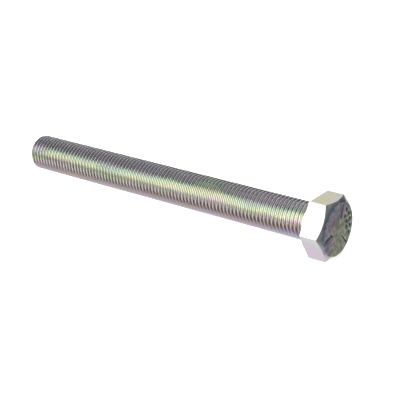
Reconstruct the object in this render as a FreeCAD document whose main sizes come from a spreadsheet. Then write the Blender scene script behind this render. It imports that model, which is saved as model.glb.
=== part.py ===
import FreeCAD, Part
import math
import os

import Sketcher
from FreeCAD import Vector

# Hex bolt, 3/8-24 UNF-2A x 3-1/2 in, threaded to the head.
# Frame: origin at the centre of the bearing (washer) face, +X out through the top of the head,
# the shank along -X, +Z up. One flat of the head faces down. Millimetres.

# name in the sheet, value, meaning
DIMENSIONS = [
    ("across_flats", 14.20, "width of the hexagon across its flats, 9/16 in nominal"),
    ("head_height", 5.95, "bearing face to top of head, washer face included"),
    ("washer_diameter", 13.50, "diameter of the washer face"),
    ("washer_thickness", 0.45, "how far the washer face stands out of the hexagon"),
    ("crown_diameter", 13.10, "diameter of the flat top of the head"),
    ("flat_edge_height", 5.43, "where the chamfer meets the middle of each flat"),
    ("chamfer_slope", 0.60, "fall over run of the chamfer from there to the corners, 31 degrees"),
    ("bolt_length", 88.90, "bearing face to tip, 3-1/2 in"),
    ("major_diameter", 9.33, "over the thread crests, low in class 2A"),
    ("pitch_diameter", 8.74, "where thread and groove are equally wide, class 2A"),
    ("root_diameter", 8.17, "at the bottom of the thread groove"),
    ("thread_pitch", 1.058333, "24 threads per inch"),
    ("flank_slope", 0.57735, "axial run over radial rise of a 30 degree flank"),
    ("neck_length", 1.50, "plain neck between the last thread and the head"),
    ("fillet_radius", 0.50, "between the neck and the bearing face"),
    ("point_diameter", 7.60, "diameter of the flat end of the shank"),
    ("point_length", 1.10, "length of the chamfer at the end of the shank"),
    ("grade_line_inner", 2.90, "inner end of a grade line, from the axis"),
    ("grade_line_length", 3.00, "length of a grade line"),
    ("grade_line_width", 0.60, "width of a grade line"),
    ("mark_depth", 0.25, "depth of the marks stamped in the head"),
    ("pip_diameter", 1.10, "diameter of a stamped pip"),
    ("outer_pips", 5.30, "distance of the outer pips from the axis"),
    ("inner_pips", 3.80, "distance of the inner pips from the axis"),
]

CREST_ARCS = 8          # arcs in the round of the blank: each makes a short strip of thread crest
GRADE_LINES = 3
GRADE_LINE_ANGLE = 70   # degrees from +Y towards +Z, the first line
PIPS = {                # degrees from +Y towards +Z, on each of two circles
    "outer_pips": (-25, -7, 11, 29, 47),
    "inner_pips": (-10, 14, 38),
}
OVERSHOOT = 1.0         # how far cutting profiles reach past the metal


def fill_sheet(doc):
    sheet = doc.addObject("Spreadsheet::Sheet", "dims")
    for row, (name, value, meaning) in enumerate(DIMENSIONS, start=1):
        sheet.set(f"A{row}", name)
        sheet.set(f"B{row}", str(value))
        sheet.setAlias(f"B{row}", name)
        sheet.set(f"C{row}", meaning)
    doc.recompute()
    return sheet


def add_sketch(body, role, name):
    """A sketch on one of the body's own origin planes."""
    plane = next(item for item in body.Origin.OriginFeatures if item.Role == role)
    sketch = body.newObject("Sketcher::SketchObject", name)
    sketch.AttachmentSupport = (plane, [""])
    sketch.MapMode = "FlatFace"
    return sketch


def bind_point(sketch, edge, end, x_text, y_text):
    """Hold one end of an edge at a place given by two expressions over the sheet."""
    for kind, text in (("DistanceX", x_text), ("DistanceY", y_text)):
        value = float(sketch.evalExpression(text))
        index = sketch.addConstraint(Sketcher.Constraint(kind, -1, 1, edge, end, value))
        sketch.setExpression(f"Constraints[{index}]", text)


def outline(sketch, corners):
    """A closed outline of straight lines through corners given as pairs of expressions."""
    points = [Vector(*(float(sketch.evalExpression(text)) for text in pair), 0) for pair in corners]
    count = len(points)
    for i in range(count):
        sketch.addGeometry(Part.LineSegment(points[i], points[(i + 1) % count]), False)
    for i in range(count):
        sketch.addConstraint(Sketcher.Constraint("Coincident", i, 2, (i + 1) % count, 1))
    for i, (x_text, y_text) in enumerate(corners):
        bind_point(sketch, i, 1, x_text, y_text)


def circle(sketch, diameter_text):
    """A circle about the sketch's origin."""
    radius_text = f"{diameter_text} / 2"
    radius = float(sketch.evalExpression(radius_text))
    edge = sketch.addGeometry(Part.Circle(Vector(), Vector(0, 0, 1), radius), False)
    sketch.addConstraint(Sketcher.Constraint("Coincident", edge, 3, -1, 1))
    index = sketch.addConstraint(Sketcher.Constraint("Radius", edge, radius))
    sketch.setExpression(f"Constraints[{index}]", radius_text)


def ring_of_arcs(sketch, diameter_text, count):
    """The same circle as equal arcs, end to end."""
    radius_text = f"{diameter_text} / 2"
    radius = float(sketch.evalExpression(radius_text))
    full = Part.Circle(Vector(), Vector(0, 0, 1), radius)
    step = 2 * math.pi / count
    for i in range(count):
        sketch.addGeometry(Part.ArcOfCircle(full, i * step, (i + 1) * step), False)
    for i in range(count):
        angle = math.degrees(i * step)
        x_text = f"{radius_text} * cos({angle} deg)"
        y_text = f"{radius_text} * sin({angle} deg)"
        bind_point(sketch, i, 1, x_text, y_text)
        sketch.addConstraint(Sketcher.Constraint("Coincident", i, 2, (i + 1) % count, 1))
        index = sketch.addConstraint(Sketcher.Constraint("Radius", i, radius))
        sketch.setExpression(f"Constraints[{index}]", radius_text)


def check_shrinks(before, feature):
    """A cutting feature that points the wrong way removes nothing and gives no error."""
    if not feature.Shape.Volume < before.Shape.Volume - 1e-3:
        raise RuntimeError(f"{feature.Name} removed nothing")


def pad(body, sketch, name, length_text, reverse=False):
    feature = body.newObject("PartDesign::Pad", name)
    feature.Profile = sketch
    feature.setExpression("Length", length_text)
    feature.Reversed = reverse
    feature.Refine = False
    body.Document.recompute()
    return feature


def groove(body, corners, name):
    """Turn an outline in the XY plane about the X axis and cut it away."""
    before = body.Tip
    sketch = add_sketch(body, "XY_Plane", f"{name}_outline")
    outline(sketch, corners)
    feature = body.newObject("PartDesign::Groove", name)
    feature.Profile = sketch
    feature.ReferenceAxis = (sketch, ["H_Axis"])
    feature.Angle = 360
    feature.Refine = False
    body.Document.recompute()
    check_shrinks(before, feature)
    return feature


def make_blank(body):
    """Shank, washer face and hexagon, before any cutting."""
    shank_round = add_sketch(body, "YZ_Plane", "shank_round")
    ring_of_arcs(shank_round, "dims.major_diameter", CREST_ARCS)
    pad(body, shank_round, "shank", "dims.bolt_length", reverse=True)

    washer_round = add_sketch(body, "YZ_Plane", "washer_round")
    circle(washer_round, "dims.washer_diameter")
    pad(body, washer_round, "washer_face", "dims.washer_thickness")

    corner = "dims.across_flats / sqrt(3)"
    flat = "dims.across_flats / 2"
    hexagon = add_sketch(body, "YZ_Plane", "hexagon")
    hexagon.setExpression("AttachmentOffset.Base.z", "dims.washer_thickness")
    outline(hexagon, [
        (f"{corner}", "0"),
        (f"{corner} / 2", f"{flat}"),
        (f"-{corner} / 2", f"{flat}"),
        (f"-{corner}", "0"),
        (f"-{corner} / 2", f"-{flat}"),
        (f"{corner} / 2", f"-{flat}"),
    ])
    pad(body, hexagon, "head", "dims.head_height - dims.washer_thickness")


def cut_rounds(body):
    """Chamfer on top of the head, point at the tip, neck under the head and its fillet."""
    outer = "dims.across_flats"
    flat = "dims.across_flats / 2"
    groove(body, [
        ("dims.head_height", "dims.crown_diameter / 2"),
        ("dims.head_height", outer),
        (f"dims.flat_edge_height - ({outer} - {flat}) * dims.chamfer_slope", outer),
        ("dims.flat_edge_height", flat),
    ], "head_chamfer")

    reach = f"dims.major_diameter / 2 + {OVERSHOOT}"
    point = "dims.point_diameter / 2"
    point_slope = f"dims.point_length / (dims.major_diameter / 2 - {point})"
    groove(body, [
        ("-dims.bolt_length", point),
        ("-dims.bolt_length", reach),
        (f"-dims.bolt_length + ({reach} - {point}) * {point_slope}", reach),
    ], "point")

    neck = "dims.pitch_diameter / 2"
    neck_feature = groove(body, [
        ("0", neck),
        ("0", reach),
        (f"-dims.neck_length - ({reach} - {neck})", reach),
        ("-dims.neck_length", neck),
    ], "neck")

    radius = body.Document.dims.pitch_diameter / 2
    names = []
    for number, edge in enumerate(neck_feature.Shape.Edges, start=1):
        is_round = edge.Curve.TypeId == "Part::GeomCircle" and abs(edge.Curve.Radius - radius) < 1e-4
        if is_round and abs(edge.CenterOfMass.x) < 1e-4:
            names.append(f"Edge{number}")
    fillet = body.newObject("PartDesign::Fillet", "underhead_fillet")
    fillet.Base = (neck_feature, names)
    fillet.setExpression("Radius", "dims.fillet_radius")
    fillet.Refine = False
    body.Document.recompute()


def cut_thread(body):
    """Right-hand helical groove from beyond the tip to the neck."""
    before = body.Tip
    root = "dims.root_diameter / 2"
    reach = f"dims.major_diameter / 2 + {OVERSHOOT}"
    pitch_line = "dims.pitch_diameter / 2"
    start = "-dims.bolt_length - dims.thread_pitch"
    half_at_root = f"(dims.thread_pitch / 4 - ({pitch_line} - {root}) * dims.flank_slope)"
    half_at_reach = f"(dims.thread_pitch / 4 + ({reach} - {pitch_line}) * dims.flank_slope)"
    sketch = add_sketch(body, "XY_Plane", "thread_groove")
    outline(sketch, [
        (f"{start} - {half_at_reach}", reach),
        (f"{start} - {half_at_root}", root),
        (f"{start} + {half_at_root}", root),
        (f"{start} + {half_at_reach}", reach),
    ])
    thread = body.newObject("PartDesign::SubtractiveHelix", "thread")
    thread.Profile = sketch
    thread.ReferenceAxis = (sketch, ["H_Axis"])
    thread.Mode = 0
    thread.setExpression("Pitch", "dims.thread_pitch")
    thread.setExpression("Height", "dims.bolt_length + dims.thread_pitch - dims.neck_length")
    thread.LeftHanded = False
    thread.Refine = False
    body.Document.recompute()
    check_shrinks(before, thread)


def stamp(body, sketch, name):
    """Sink a sketched mark into the top of the head."""
    before = body.Tip
    sketch.setExpression("AttachmentOffset.Base.z", "dims.head_height")
    pocket = body.newObject("PartDesign::Pocket", name)
    pocket.Profile = sketch
    pocket.setExpression("Length", "dims.mark_depth")
    pocket.Refine = False
    body.Document.recompute()
    check_shrinks(before, pocket)
    return pocket


def repeat_round_axis(body, pocket, name, count):
    pattern = body.newObject("PartDesign::PolarPattern", name)
    pattern.Originals = [pocket]
    axis = next(item for item in body.Origin.OriginFeatures if item.Role == "X_Axis")
    pattern.Axis = (axis, [""])
    pattern.Angle = 360
    pattern.Occurrences = count
    pattern.Refine = False
    body.Tip = pattern
    body.Document.recompute()
    check_shrinks(pocket, pattern)


def mark_head(body):
    """Three radial grade lines, and a group of plain pips between two of them."""
    line = add_sketch(body, "YZ_Plane", "grade_line_outline")
    inner = "dims.grade_line_inner"
    outer = "(dims.grade_line_inner + dims.grade_line_length)"
    half = "dims.grade_line_width / 2"
    turn = f"({GRADE_LINE_ANGLE} deg)"
    outline(line, [
        (f"{inner} * cos{turn} + {half} * sin{turn}", f"{inner} * sin{turn} - {half} * cos{turn}"),
        (f"{outer} * cos{turn} + {half} * sin{turn}", f"{outer} * sin{turn} - {half} * cos{turn}"),
        (f"{outer} * cos{turn} - {half} * sin{turn}", f"{outer} * sin{turn} + {half} * cos{turn}"),
        (f"{inner} * cos{turn} - {half} * sin{turn}", f"{inner} * sin{turn} + {half} * cos{turn}"),
    ])
    first_line = stamp(body, line, "grade_line")
    repeat_round_axis(body, first_line, "grade_lines", GRADE_LINES)

    pips = add_sketch(body, "YZ_Plane", "pip_outline")
    radius_text = "dims.pip_diameter / 2"
    radius = float(pips.evalExpression(radius_text))
    places = [(distance, angle) for distance, angles in PIPS.items() for angle in angles]
    for distance, angle in places:
        y_text = f"dims.{distance} * cos({angle} deg)"
        z_text = f"dims.{distance} * sin({angle} deg)"
        centre = Vector(float(pips.evalExpression(y_text)), float(pips.evalExpression(z_text)), 0)
        edge = pips.addGeometry(Part.Circle(centre, Vector(0, 0, 1), radius), False)
        bind_point(pips, edge, 3, y_text, z_text)
        index = pips.addConstraint(Sketcher.Constraint("Radius", edge, radius))
        pips.setExpression(f"Constraints[{index}]", radius_text)
    stamp(body, pips, "pips")


def check_and_export(doc, bodies):
    doc.recompute()
    for item in doc.Objects:
        if "Invalid" in item.State or "Error" in item.State:
            raise RuntimeError(f"{item.Name} failed: {item.State}")
    os.makedirs("parts", exist_ok=True)
    for body in bodies:
        shape = body.Shape
        if shape.isNull() or not shape.isValid() or len(shape.Solids) != 1:
            raise RuntimeError(f"{body.Label} is not one valid solid")
        print(f"{body.Label}: {shape.Volume:.1f} mm3, {len(shape.Faces)} faces")
        shape.exportStep(f"parts/{body.Label}.step")


def main():
    doc = FreeCAD.newDocument("hex_bolt")
    fill_sheet(doc)
    body = doc.addObject("PartDesign::Body", "hex_bolt_body")
    body.Label = "hex_bolt"
    make_blank(body)
    cut_rounds(body)
    mark_head(body)
    cut_thread(body)
    check_and_export(doc, [body])


main()
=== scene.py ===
import math

import bpy
from mathutils import Matrix, Vector, noise


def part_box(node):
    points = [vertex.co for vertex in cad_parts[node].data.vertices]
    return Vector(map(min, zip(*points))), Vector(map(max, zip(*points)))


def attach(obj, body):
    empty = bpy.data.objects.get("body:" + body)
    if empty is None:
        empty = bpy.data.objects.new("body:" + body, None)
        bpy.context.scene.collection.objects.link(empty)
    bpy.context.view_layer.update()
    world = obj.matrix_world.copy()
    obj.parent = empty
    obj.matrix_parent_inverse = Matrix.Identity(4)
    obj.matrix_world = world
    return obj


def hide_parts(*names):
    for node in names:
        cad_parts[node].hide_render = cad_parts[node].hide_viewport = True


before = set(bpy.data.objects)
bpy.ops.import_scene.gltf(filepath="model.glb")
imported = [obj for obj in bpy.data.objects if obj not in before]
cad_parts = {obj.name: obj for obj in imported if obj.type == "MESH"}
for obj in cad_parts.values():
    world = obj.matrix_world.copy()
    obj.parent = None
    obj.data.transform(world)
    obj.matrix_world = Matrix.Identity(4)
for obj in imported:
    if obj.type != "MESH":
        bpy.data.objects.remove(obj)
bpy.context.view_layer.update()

MM = 0.001

# The bolt's sizes in millimetres, on the frame's axes: +X out of the head, shank along -X.
NODE_LOW, NODE_HIGH = (Vector(corner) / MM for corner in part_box("hex_bolt"))
TIP_X = NODE_LOW.x
HEAD_TOP_X = NODE_HIGH.x
FLAT_R = NODE_HIGH.z                 # half the width across flats
MAJOR_R = 4.665
PITCH_R = 4.37
THREAD_PITCH = 25.4 / 24
FLANK_ANGLE = math.radians(30)
ROOT_RADIUS = 0.144 * THREAD_PITCH
POINT_R = 3.80
POINT_LENGTH = 1.10
NECK_LENGTH = 1.20
RUN_OUT_LENGTH = 0.90
FILLET_R = 0.50
WASHER_R = 6.75
WASHER_T = 0.45
CROWN_R = 6.55
CHAMFER_DROP = 0.52                  # from the crown to the middle of each flat's edge
CHAMFER_SLOPE = 0.60                 # from there to the corners
CORNER_ROUND = 0.35                  # rounding of the hexagon's long edges
MARK_DEPTH = 0.27
GRADE_LINE = (2.90, 5.90)            # inner and outer end, from the axis
GRADE_LINE_HALF = 0.40               # half the width at the top
PIP_R = 0.64
LINE_STEEPNESS = 1.7                 # over 1, a mark's floor is flat in the middle
PIP_STEEPNESS = 1.3
GRADE_LINE_ANGLES = (70, 190, 310)   # degrees from +Y towards +Z
OUTER_PIPS = [(5.3, degrees) for degrees in (-25, -7, 11, 29, 47)]
INNER_PIPS = [(3.8, degrees) for degrees in (-10, 14, 38)]

SHANK_COLUMNS = 96
CROWN_COLUMNS = 360


def smooth(t):
    """An even ease from 0 to 1."""
    t = min(1.0, max(0.0, t))
    return t * t * (3 - 2 * t)


def soft_min(a, b, width):
    """The smaller of two values, with the crossing rounded over."""
    t = min(1.0, max(0.0, 0.5 + (b - a) / (2 * width)))
    return b + (a - b) * t - width * t * (1 - t)


class Shell:
    """Vertices and faces of one closed surface, built ring by ring about the X axis."""

    def __init__(self):
        self.points = []
        self.faces = []

    def point(self, x, radius, angle):
        self.points.append((x, radius * math.cos(angle), radius * math.sin(angle)))
        return len(self.points) - 1

    def angle(self, index):
        _, y, z = self.points[index]
        return math.atan2(z, y) % (2 * math.pi)

    def ring(self, x, radius, angles):
        return [self.point(x, radius, angle) for angle in angles]

    def join(self, first, second):
        """Quads between two rings that have the same angles; first lies nearer the tip or the outside."""
        count = len(first)
        for i in range(count):
            k = (i + 1) % count
            self.faces.append((first[i], first[k], second[k], second[i]))

    def zip(self, first, second):
        """Triangles between two rings whose angles differ, both starting near angle zero."""
        i = j = 0
        ends = (len(first), len(second))
        full_turn = 2 * math.pi

        def turned(ring, index):
            return self.angle(ring[index % len(ring)]) + full_turn * (index // len(ring))

        while i < ends[0] or j < ends[1]:
            here = (first[i % ends[0]], second[j % ends[1]])
            if j >= ends[1] or (i < ends[0] and turned(first, i + 1) <= turned(second, j + 1)):
                self.faces.append((here[0], first[(i + 1) % ends[0]], here[1]))
                i += 1
            else:
                self.faces.append((here[0], second[(j + 1) % ends[1]], here[1]))
                j += 1

    def close(self, ring, x):
        """A fan of triangles from the ring to a point on the axis."""
        centre = self.point(x, 0.0, 0.0)
        count = len(ring)
        for i in range(count):
            self.faces.append((ring[i], ring[(i + 1) % count], centre))


def thread_profile():
    """One pitch of the rolled thread: (phase in pitches from the groove's middle, radius)."""
    quarter = THREAD_PITCH / 4
    rise = 1 / math.tan(FLANK_ANGLE)
    root_vee_r = PITCH_R - quarter * rise
    crest_vee_r = PITCH_R + quarter * rise
    crest_round = crest_vee_r - MAJOR_R
    root_centre_r = root_vee_r + ROOT_RADIUS / math.sin(FLANK_ANGLE)
    crest_centre_r = crest_vee_r - crest_round / math.sin(FLANK_ANGLE)
    widest = math.pi / 2 - FLANK_ANGLE
    half = []
    for step in range(4):
        turn = step / 3 * widest
        half.append((ROOT_RADIUS * math.sin(turn), root_centre_r - ROOT_RADIUS * math.cos(turn)))
    half.append((quarter, PITCH_R))
    for step in range(4):
        turn = (1 - step / 3) * widest
        at = 2 * quarter - crest_round * math.sin(turn)
        half.append((at, crest_centre_r + crest_round * math.cos(turn)))
    falling = [(THREAD_PITCH - at, radius) for at, radius in reversed(half[1:-1])]
    return [(at / THREAD_PITCH, radius) for at, radius in half + falling]


def shank_radius(x, profile_r):
    """Radius of the thread at x: run out into the neck, and cut back by the chamfered point."""
    fade = smooth((-NECK_LENGTH - x) / RUN_OUT_LENGTH)
    radius = PITCH_R + (profile_r - PITCH_R) * fade
    cone = POINT_R + (x - TIP_X) * (MAJOR_R - POINT_R) / POINT_LENGTH
    return soft_min(radius, cone, 0.04)


def add_thread(shell):
    """The helical sheet from the point to the neck. Returns its first and last rings."""
    first_x = TIP_X + 0.10
    last_x = -NECK_LENGTH + 0.40
    profile = thread_profile()
    per_turn = len(profile)
    turns = math.ceil((last_x - first_x) / THREAD_PITCH) + 2
    base_x = first_x - THREAD_PITCH
    columns = []
    for i in range(SHANK_COLUMNS):
        angle = 2 * math.pi * i / SHANK_COLUMNS
        rows = {}
        for j in range(turns * per_turn):
            phase, profile_r = profile[j % per_turn]
            x = base_x + THREAD_PITCH * (j // per_turn + phase + i / SHANK_COLUMNS)
            if first_x + 0.01 < x < last_x - 0.01:
                rows[j] = shell.point(x, shank_radius(x, profile_r), angle)
        columns.append(rows)
    # after one turn the first column comes round again, one pitch further on
    columns.append({j - per_turn: index for j, index in columns[0].items()})

    angles = [2 * math.pi * i / SHANK_COLUMNS for i in range(SHANK_COLUMNS)]
    start = shell.ring(first_x, shank_radius(first_x, MAJOR_R), angles)
    end = shell.ring(last_x, PITCH_R, angles)
    for i in range(SHANK_COLUMNS):
        k = (i + 1) % SHANK_COLUMNS
        left, right = columns[i], columns[i + 1]
        low = max(min(left), min(right))
        high = min(max(left), max(right))
        left_start = [left[j] for j in sorted(left) if j <= low]
        right_start = [right[j] for j in sorted(right) if j <= low]
        shell.faces.append((start[i], start[k], *right_start, *reversed(left_start)))
        for j in range(low, high):
            shell.faces.append((left[j], right[j], right[j + 1], left[j + 1]))
        left_end = [left[j] for j in sorted(left) if j >= high]
        right_end = [right[j] for j in sorted(right) if j >= high]
        shell.faces.append((*reversed(left_end), *right_end, end[k], end[i]))
    return start, end


def add_point(shell, start):
    """The sheared end of the shank, inside the ring where the thread starts."""
    angles = [shell.angle(index) for index in start]
    edge = [(0.04, POINT_R + 0.02), (0.0, POINT_R - 0.06), (0.0, POINT_R - 0.35)]
    dish = [(0.05, 2.6), (0.07, 1.3)]
    ring = start
    for x, radius in edge + dish:
        inner = shell.ring(TIP_X + x, radius, angles)
        shell.join(inner, ring)
        ring = inner
    shell.close(list(reversed(ring)), TIP_X + 0.08)


def hexagon_radius(angle):
    """Distance from the axis to the hexagon with rounded long edges, corners at 0, 60, ... degrees."""
    third = math.pi / 3
    off = (angle + third / 2) % third - third / 2
    centre = (FLAT_R - CORNER_ROUND) / math.cos(third / 2)
    tangent = math.atan2(CORNER_ROUND / 2, centre + CORNER_ROUND * math.cos(third / 2))
    if abs(off) < tangent:
        return centre * math.cos(off) + math.sqrt(CORNER_ROUND ** 2 - (centre * math.sin(off)) ** 2)
    return FLAT_R / math.cos(third / 2 - abs(off))


def hexagon_angles():
    """Columns round the head, closer together at the corners."""
    half = (0.0, 0.41, 0.83, 1.24, 1.9, 3.2, 5.5, 8.5, 12.0, 15.5, 19.0, 22.5, 26.0)
    offsets = list(half) + [30.0] + [60.0 - step for step in reversed(half[1:])]
    return [math.radians(60 * corner + step) for corner in range(6) for step in offsets]


def soften(corners, steps=4):
    """A path through (x, radius, rounding) corners: rounded where rounding is over zero, straight between."""
    path = []
    for n, (x, radius, rounding) in enumerate(corners):
        here = Vector((x, radius))
        if rounding == 0:
            path.append(here)
            continue
        before = Vector(corners[n - 1][:2]) - here
        after = Vector(corners[n + 1][:2]) - here
        a = here + before.normalized() * rounding
        b = here + after.normalized() * rounding
        support_a = here + before.normalized() * (rounding + 0.04)
        support_b = here + after.normalized() * (rounding + 0.04)
        path.append(support_a)
        for step in range(steps + 1):
            t = step / steps
            path.append(a * (1 - t) ** 2 + here * 2 * t * (1 - t) + b * t ** 2)
        path.append(support_b)
    return path


def add_neck(shell, end):
    """Neck, underhead fillet and washer face. Returns the ring at the washer face's foot."""
    angles = [2 * math.pi * i / SHANK_COLUMNS for i in range(SHANK_COLUMNS)]
    path = [Vector((-FILLET_R - 0.05, PITCH_R))]
    for step in range(7):
        turn = step / 6 * math.pi / 2
        x = -FILLET_R * (1 - math.sin(turn))
        path.append(Vector((x, PITCH_R + FILLET_R * (1 - math.cos(turn)))))
    path += soften([(0.0, PITCH_R + FILLET_R + 0.2, 0), (0.0, WASHER_R, 0.08), (WASHER_T, WASHER_R, 0)])
    path.append(Vector((WASHER_T, WASHER_R + 0.06)))
    ring = end
    for x, radius in path:
        outer = shell.ring(x, radius, angles)
        shell.join(ring, outer)
        ring = outer
    return ring


def add_hexagon(shell, inner):
    """Underside, flats and chamfer of the head. Returns the ring on the crown."""
    angles = hexagon_angles()
    columns = []
    for angle in angles:
        radius = hexagon_radius(angle)
        edge_x = HEAD_TOP_X - CHAMFER_DROP - (radius - FLAT_R) * CHAMFER_SLOPE
        columns.append(soften([
            (WASHER_T, WASHER_R + 0.12, 0),
            (WASHER_T, radius, 0.10),
            (edge_x, radius, 0.07),
            (HEAD_TOP_X, CROWN_R, 0.16),
            (HEAD_TOP_X, CROWN_R - 0.35, 0),
        ]))
    rings = []
    for row in range(len(columns[0])):
        rings.append([shell.point(*columns[i][row], angle) for i, angle in enumerate(angles)])
    shell.zip(inner, rings[0])
    for first, second in zip(rings, rings[1:]):
        shell.join(first, second)
    return rings[-1]


def distance_to_segment(point, a, b):
    """How far a point is from the straight line between a and b."""
    along = (point - a).dot(b - a) / (b - a).length_squared
    return (point - a - (b - a) * min(1.0, max(0.0, along))).length


def mark_depth(y, z):
    """How deep the stamped marks are at a place on the crown."""
    here = Vector((y, z))
    depth = 0.0
    for degrees in GRADE_LINE_ANGLES:
        way = Vector((math.cos(math.radians(degrees)), math.sin(math.radians(degrees))))
        away = distance_to_segment(here, way * GRADE_LINE[0], way * GRADE_LINE[1])
        depth = max(depth, LINE_STEEPNESS * (1 - away / GRADE_LINE_HALF))
    for at_r, degrees in OUTER_PIPS + INNER_PIPS:
        turn = math.radians(degrees)
        away = (here - Vector((math.cos(turn), math.sin(turn))) * at_r).length
        depth = max(depth, PIP_STEEPNESS * (1 - (away / PIP_R) ** 2))
    return min(1.0, depth) * MARK_DEPTH


def add_crown(shell, rim):
    """The flat top of the head with its stamped marks."""
    angles = [2 * math.pi * i / CROWN_COLUMNS for i in range(CROWN_COLUMNS)]
    outer_r = CROWN_R - 0.40
    inner_r = 2.4                        # no mark reaches further in
    count = 56
    ring = shell.ring(HEAD_TOP_X, outer_r, angles)
    shell.zip(rim, ring)
    for step in range(1, count + 1):
        radius = outer_r + (inner_r - outer_r) * step / count
        inner = []
        for angle in angles:
            depth = mark_depth(radius * math.cos(angle), radius * math.sin(angle))
            inner.append(shell.point(HEAD_TOP_X - depth, radius, angle))
        shell.join(ring, inner)
        ring = inner
    coarse = angles[::6]
    for radius in (2.2, 1.5, 0.8, 0.3):
        inner = shell.ring(HEAD_TOP_X, radius, coarse)
        if len(inner) == len(ring):
            shell.join(ring, inner)
        else:
            shell.zip(ring, inner)
        ring = inner
    shell.close(ring, HEAD_TOP_X)


def forged(point):
    """Forging leaves broad, shallow hollows: a few hundredths of a millimetre, always inward."""
    x, y, z = point
    if x <= WASHER_T + 0.2:
        return Vector(point)
    broad = noise.noise(Vector((x * 0.35, y * 0.35, z * 0.35)) + Vector((3.1, 7.7, 1.3)))
    sink = 0.030 * (0.5 + 0.5 * broad)
    inward = Vector((-(x - 2.5) / 4, -y / 8, -z / 8)).normalized()
    return Vector(point) + inward * sink


def build_bolt():
    """The whole bolt as one closed mesh, from the point of the shank to the crown of the head."""
    shell = Shell()
    start, end = add_thread(shell)
    add_point(shell, start)
    foot = add_neck(shell, end)
    rim = add_hexagon(shell, foot)
    add_crown(shell, rim)
    mesh = bpy.data.meshes.new("bolt_body")
    mesh.from_pydata([forged(point) * MM for point in shell.points], [], shell.faces)
    mesh.validate()
    mesh.polygons.foreach_set("use_smooth", [True] * len(mesh.polygons))
    mesh.update()
    bolt = bpy.data.objects.new("bolt_body", mesh)
    bpy.context.scene.collection.objects.link(bolt)
    return bolt


class Nodes:
    """Short way to write a node tree."""

    def __init__(self, tree):
        self.tree = tree
        tree.nodes.clear()

    def add(self, kind, inputs=None, **settings):
        node = self.tree.nodes.new(kind)
        for name, value in settings.items():
            setattr(node, name, value)
        for name, value in (inputs or {}).items():
            if isinstance(value, bpy.types.NodeSocket):
                self.tree.links.new(value, node.inputs[name])
            else:
                node.inputs[name].default_value = value
        return node

    def ramp(self, factor, stops):
        """A colour for each value, blended between the stops."""
        node = self.add("ShaderNodeValToRGB", {"Fac": factor})
        while len(node.color_ramp.elements) < len(stops):
            node.color_ramp.elements.new(0.5)
        for element, (position, colour) in zip(node.color_ramp.elements, stops):
            element.position = position
            element.color = (*colour, 1.0)
        return node.outputs["Color"]

    def mix(self, factor, a, b, blend="MIX"):
        node = self.add("ShaderNodeMix", data_type="RGBA", blend_type=blend)
        for socket, value in ((node.inputs[0], factor), (node.inputs[6], a), (node.inputs[7], b)):
            if isinstance(value, bpy.types.NodeSocket):
                self.tree.links.new(value, socket)
            else:
                socket.default_value = value
        return node.outputs[2]

    def math(self, operation, a, b=0.0, c=0.0):
        return self.add("ShaderNodeMath", {0: a, 1: b, 2: c}, operation=operation).outputs[0]

    def noise(self, vector, scale, detail, roughness):
        inputs = {"Vector": vector, "Scale": scale, "Detail": detail, "Roughness": roughness}
        return self.add("ShaderNodeTexNoise", inputs).outputs[0]

    def span(self, value, start, end):
        """0 to 1 as a coordinate goes from start to end, both in mm."""
        return self.add("ShaderNodeMapRange", {0: value, 1: start * MM, 2: end * MM}).outputs[0]


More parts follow.
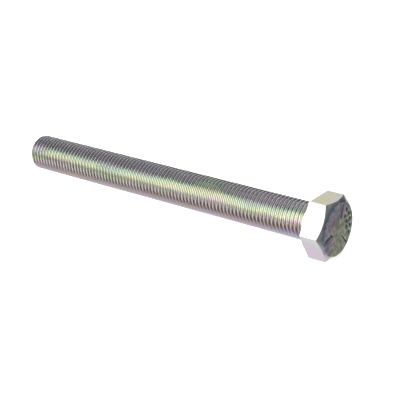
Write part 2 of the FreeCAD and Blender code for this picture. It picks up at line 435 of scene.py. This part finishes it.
def plated_steel():
    """Zinc plate under a thin chromate film, whose colour drifts with its thickness."""
    material = bpy.data.materials.new("plated_steel")
    material.use_nodes = True
    n = Nodes(material.node_tree)
    place = n.add("ShaderNodeTexCoord").outputs["Object"]
    position = n.add("ShaderNodeSeparateXYZ", {0: place})
    along = position.outputs["X"]
    on_head = n.span(along, -0.3, 0.3)

    # the film grows thicker from the top of the shank to its underside, and drifts over a centimetre or so
    drift_at = n.add("ShaderNodeMapping", {"Vector": place, "Scale": (90, 95, 95)}).outputs[0]
    drift = n.noise(drift_at, 1.0, 2.0, 0.45)
    height = n.math("MULTIPLY", position.outputs["Z"], -1.0 / (MAJOR_R * MM))
    thickness = n.math("MULTIPLY_ADD", height, 0.5, 0.5)
    near_head = n.math("MULTIPLY", n.span(along, -40, -2), 0.13)
    drifting = n.math("MULTIPLY_ADD", n.math("SUBTRACT", drift, 0.5), 0.80, near_head)
    shank_film = n.math("ADD", thickness, drifting)
    shank_colour = n.ramp(shank_film, [
        (0.00, (0.71, 0.69, 0.73)),
        (0.10, (0.73, 0.67, 0.72)),
        (0.18, (0.64, 0.70, 0.62)),
        (0.26, (0.74, 0.83, 0.70)),
        (0.34, (0.83, 0.84, 0.63)),
        (0.44, (0.82, 0.81, 0.71)),
        (0.56, (0.82, 0.72, 0.73)),
        (0.68, (0.85, 0.72, 0.63)),
        (0.80, (0.80, 0.67, 0.76)),
        (0.92, (0.76, 0.74, 0.82)),
    ])

    # on the head it is pink and mint below, near clear at the side, and straw on the top flat
    head_drift = n.noise(place, 290.0, 1.5, 0.4)
    head_height = n.math("MULTIPLY_ADD", position.outputs["Z"], 0.5 / (FLAT_R * MM), 0.5)
    head_film = n.math("ADD", head_height, n.math("MULTIPLY", n.math("SUBTRACT", head_drift, 0.5), 0.70))
    side_colour = n.ramp(head_film, [
        (0.00, (0.76, 0.74, 0.76)),
        (0.16, (0.80, 0.68, 0.78)),
        (0.28, (0.78, 0.72, 0.78)),
        (0.38, (0.71, 0.79, 0.75)),
        (0.50, (0.82, 0.82, 0.81)),
        (1.00, (0.86, 0.86, 0.84)),
    ])
    top_colour = n.ramp(head_drift, [
        (0.36, (0.75, 0.73, 0.79)),
        (0.46, (0.78, 0.76, 0.68)),
        (0.54, (0.79, 0.76, 0.50)),
        (0.64, (0.76, 0.76, 0.62)),
    ])
    normal = n.add("ShaderNodeNewGeometry").outputs["Normal"]
    upward = n.add("ShaderNodeSeparateXYZ", {0: normal}).outputs["Z"]
    on_top = n.add("ShaderNodeMapRange", {0: upward, 1: 0.96, 2: 0.995}).outputs[0]
    head_colour = n.mix(on_top, side_colour, top_colour)
    film_colour = n.mix(on_head, shank_colour, head_colour)

    # the crown took the film in darker patches, blue at one side, olive across the middle
    patch = n.noise(place, 190.0, 2.0, 0.5)
    across = n.math("MULTIPLY", position.outputs["Y"], 0.34 / (CROWN_R * MM))
    down = n.math("MULTIPLY", position.outputs["Z"], -0.20 / (CROWN_R * MM))
    lean = n.math("ADD", n.math("ADD", across, down), 0.5)
    patches = n.math("ADD", lean, n.math("MULTIPLY", n.math("SUBTRACT", patch, 0.5), 0.90))
    patch_colour = n.ramp(patches, [
        (0.10, (0.36, 0.41, 0.50)),
        (0.28, (0.40, 0.40, 0.50)),
        (0.38, (0.52, 0.42, 0.42)),
        (0.48, (0.48, 0.47, 0.42)),
        (0.60, (0.52, 0.56, 0.38)),
        (0.74, (0.50, 0.56, 0.44)),
        (0.88, (0.50, 0.46, 0.54)),
    ])
    speck = n.noise(place, 900.0, 3.0, 0.6)
    speckle = n.ramp(speck, [
        (0.38, (0.66, 0.66, 0.70)),
        (0.50, (0.94, 0.94, 0.94)),
        (0.62, (1.30, 1.30, 1.24)),
    ])
    patched = n.mix(1.0, patch_colour, speckle, "MULTIPLY")

    # one reddish stain, off to one side of the crown's middle
    off_axis = n.add("ShaderNodeMapping", {"Vector": place, "Scale": (0, 1, 1)}).outputs[0]
    stain_at = {0: off_axis, 1: (0, -2.3 * MM, 2.6 * MM)}
    from_stain = n.add("ShaderNodeVectorMath", stain_at, operation="DISTANCE").outputs["Value"]
    stain = n.math("MULTIPLY", n.span(from_stain, 1.4, 0.3), 0.75)
    crown_colour = n.mix(stain, patched, (0.48, 0.27, 0.28, 1.0))
    on_crown = n.span(along, HEAD_TOP_X - 0.6, HEAD_TOP_X - 0.08)
    outside_marks = n.mix(on_crown, film_colour, crown_colour)

    # painted shade: the floors of the sunk marks are painted near black, for the shade that falls in them
    from_axis = n.add("ShaderNodeVectorMath", {0: off_axis}, operation="LENGTH").outputs["Value"]
    inside = n.math("LESS_THAN", from_axis, (CROWN_R - 0.2) * MM)
    sunk = n.span(along, HEAD_TOP_X - 0.17, HEAD_TOP_X - 0.25)
    painted_shade_in_marks = n.math("MULTIPLY", n.math("MULTIPLY", inside, sunk), on_head)
    marked = n.mix(painted_shade_in_marks, outside_marks, (0.13, 0.13, 0.14, 1.0))

    # painted shade: the thread's roots are painted duller than its crests, for the shade deep in the grooves
    painted_root_shade = n.math("MULTIPLY", n.span(from_axis, 4.42, 4.16), n.span(along, -0.8, -1.4))
    root_shaded_colour = n.mix(n.math("MULTIPLY", painted_root_shade, 0.60), marked, (0.42, 0.42, 0.42, 1.0), "MULTIPLY")

    grain = n.noise(place, 2600.0, 2.0, 0.5)
    shade = n.ramp(grain, [(0.35, (0.94, 0.94, 0.94)), (0.65, (1.0, 1.0, 1.0))])
    colour = n.mix(1.0, root_shaded_colour, shade, "MULTIPLY")

    blotch = n.noise(place, 420.0, 3.0, 0.5)
    roughness = n.add("ShaderNodeMapRange", {0: blotch, 1: 0.3, 2: 0.7, 3: 0.15, 4: 0.24}).outputs[0]
    dents = n.math("MULTIPLY", n.math("MULTIPLY", speck, on_crown), 1.5)
    wave = n.math("MULTIPLY_ADD", blotch, 3.0, dents)
    bump = n.add("ShaderNodeBump", {"Height": wave, "Strength": 0.25, "Distance": 0.00003}).outputs[0]
    shader = n.add("ShaderNodeBsdfPrincipled", {
        "Base Color": colour, "Metallic": 1.0, "Roughness": roughness, "Normal": bump,
    })
    n.add("ShaderNodeOutputMaterial", {"Surface": shader.outputs[0]})
    return material


def floor_material():
    """Nearly white, faintly uneven, and bright enough to show only a trace of shadow."""
    material = bpy.data.materials.new("pale_floor")
    material.use_nodes = True
    n = Nodes(material.node_tree)
    place = n.add("ShaderNodeTexCoord").outputs["Object"]
    speck = n.noise(place, 30.0, 4.0, 0.5)
    colour = n.ramp(speck, [(0.3, (0.86, 0.86, 0.86)), (0.7, (0.90, 0.90, 0.90))])
    shader = n.add("ShaderNodeBsdfPrincipled", {
        "Base Color": colour, "Roughness": 0.9, "Emission Color": (1, 1, 1, 1), "Emission Strength": 0.75,
    })
    n.add("ShaderNodeOutputMaterial", {"Surface": shader.outputs[0]})
    return material


def add_floor():
    """A pale floor that the head's lower edge and the shank's end both touch."""
    half = 3.0
    mesh = bpy.data.meshes.new("floor")
    corners = [(-half, -half, 0), (half, -half, 0), (half, half, 0), (-half, half, 0)]
    mesh.from_pydata(corners, [], [(0, 1, 2, 3)])
    floor = bpy.data.objects.new("floor", mesh)
    bpy.context.scene.collection.objects.link(floor)
    tilt = math.atan2(FLAT_R - MAJOR_R, -TIP_X - POINT_LENGTH)
    floor.matrix_world = Matrix.Translation((0, 0, -FLAT_R * MM)) @ Matrix.Rotation(-tilt, 4, "Y")
    mesh.materials.append(floor_material())
    floor.visible_glossy = False


ROOM_LIGHT = (0.115, 0.118, 0.125)

# Where the studio is bright, as seen from the bolt:
# (direction, half angle of the even middle, half angle of the edge, colour, strength)
SOFTBOXES = [
    ((-0.60, -0.67, 0.45), 24, 38, (1.00, 1.00, 0.98), 1.20),
    ((0.05, -0.88, 0.46), 14, 34, (1.00, 1.00, 0.99), 0.70),
    ((-0.61, -0.78, -0.10), 12, 32, (1.00, 0.99, 0.99), 1.15),
    ((-0.82, -0.45, 0.34), 12, 32, (1.00, 1.00, 0.98), 1.60),
    ((-0.58, -0.40, 0.70), 8, 26, (1.00, 1.00, 1.00), 0.45),
    ((0.67, 0.66, 0.34), 8, 26, (1.00, 1.00, 1.00), 0.08),
    ((0.95, 0.00, 0.05), 20, 50, (0.80, 0.88, 1.00), 0.09),
    ((-0.48, 0.78, 0.40), 24, 44, (1.00, 1.00, 0.96), 0.62),
    ((-0.60, 0.16, 0.79), 16, 34, (1.00, 1.00, 1.00), 1.00),
    ((-0.50, 0.12, -0.86), 26, 52, (1.00, 0.97, 1.00), 0.72),
    ((-0.20, 0.88, -0.42), 18, 36, (1.00, 0.98, 1.00), 0.62),
    ((0.05, 0.60, -0.80), 14, 34, (1.00, 0.98, 1.00), 0.50),
    ((0.56, 0.10, -0.82), 10, 30, (0.97, 0.96, 1.00), 0.42),
    ((0.60, -0.66, -0.40), 12, 27, (1.00, 1.00, 1.00), 1.40),
    ((0.25, 0.78, 0.58), 4, 13, (1.00, 1.00, 1.00), 1.00),
    ((0.85, 0.42, -0.15), 6, 26, (0.94, 0.96, 1.00), 0.16),
    ((0.45, 0.79, -0.41), 10, 26, (1.00, 1.00, 1.00), 0.22),
]


def studio_world():
    """A dim room with soft bright areas, in front of a white backdrop."""
    world = bpy.data.worlds.new("studio")
    bpy.context.scene.world = world
    world.use_nodes = True
    n = Nodes(world.node_tree)
    way = n.add("ShaderNodeTexCoord").outputs["Generated"]
    total = ROOM_LIGHT
    for direction, inner, outer, colour, strength in SOFTBOXES:
        unit = Vector(direction).normalized()
        facing = n.add("ShaderNodeVectorMath", {0: way, 1: unit}, operation="DOT_PRODUCT").outputs["Value"]
        edge = math.cos(math.radians(outer))
        middle = math.cos(math.radians(inner))
        fall_off = {0: facing, 1: edge, 2: middle, 3: 0.0, 4: strength}
        lobe = n.add("ShaderNodeMapRange", fall_off, interpolation_type="SMOOTHSTEP").outputs[0]
        light = n.add("ShaderNodeVectorMath", {0: colour, "Scale": lobe}, operation="SCALE").outputs[0]
        total = n.add("ShaderNodeVectorMath", {0: total, 1: light}, operation="ADD").outputs[0]
    studio = n.add("ShaderNodeBackground", {"Color": total, "Strength": 1.0}).outputs[0]
    white = n.add("ShaderNodeBackground", {"Color": (1, 1, 1, 1), "Strength": 1.0}).outputs[0]
    seen = n.add("ShaderNodeLightPath").outputs["Is Camera Ray"]
    both = n.add("ShaderNodeMixShader", {0: seen, 1: studio, 2: white}).outputs[0]
    n.add("ShaderNodeOutputWorld", {"Surface": both})


def add_softbox():
    """The lamp that lights the floor and gives the faint shadow."""
    lamp = bpy.data.lights.new("softbox", "AREA")
    lamp.shape = "DISK"
    lamp.size = 0.8
    lamp.energy = 12.0
    box = bpy.data.objects.new("softbox", lamp)
    box.location = (-0.3, -0.2, 1.1)
    box.rotation_euler = (Vector((-0.04, 0, 0)) - box.location).to_track_quat("-Z", "Y").to_euler()
    box.visible_glossy = False
    bpy.context.scene.collection.objects.link(box)


def add_camera():
    """A long lens, above and to the front of the head's side."""
    camera = bpy.data.cameras.new("camera")
    camera.sensor_width = 36.0
    camera.lens = 95.211
    camera.clip_start = 0.01
    camera.clip_end = 20.0
    holder = bpy.data.objects.new("camera", camera)
    forward = Vector((-0.55927, 0.73238, -0.38838)).normalized()
    right = Vector((0.80065, 0.59864, -0.02408)).normalized()
    up = right.cross(forward)
    turn = Matrix((right, up, -forward)).transposed().to_4x4()
    holder.matrix_world = Matrix.Translation(Vector((114.28, -193.75, 100.80)) * MM) @ turn
    bpy.context.scene.collection.objects.link(holder)
    bpy.context.scene.camera = holder


add_camera()
studio_world()
add_softbox()
add_floor()
bolt = build_bolt()
bolt.data.materials.append(plated_steel())
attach(bolt, "root")
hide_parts("hex_bolt")
bpy.context.scene.view_settings.view_transform = "Standard"
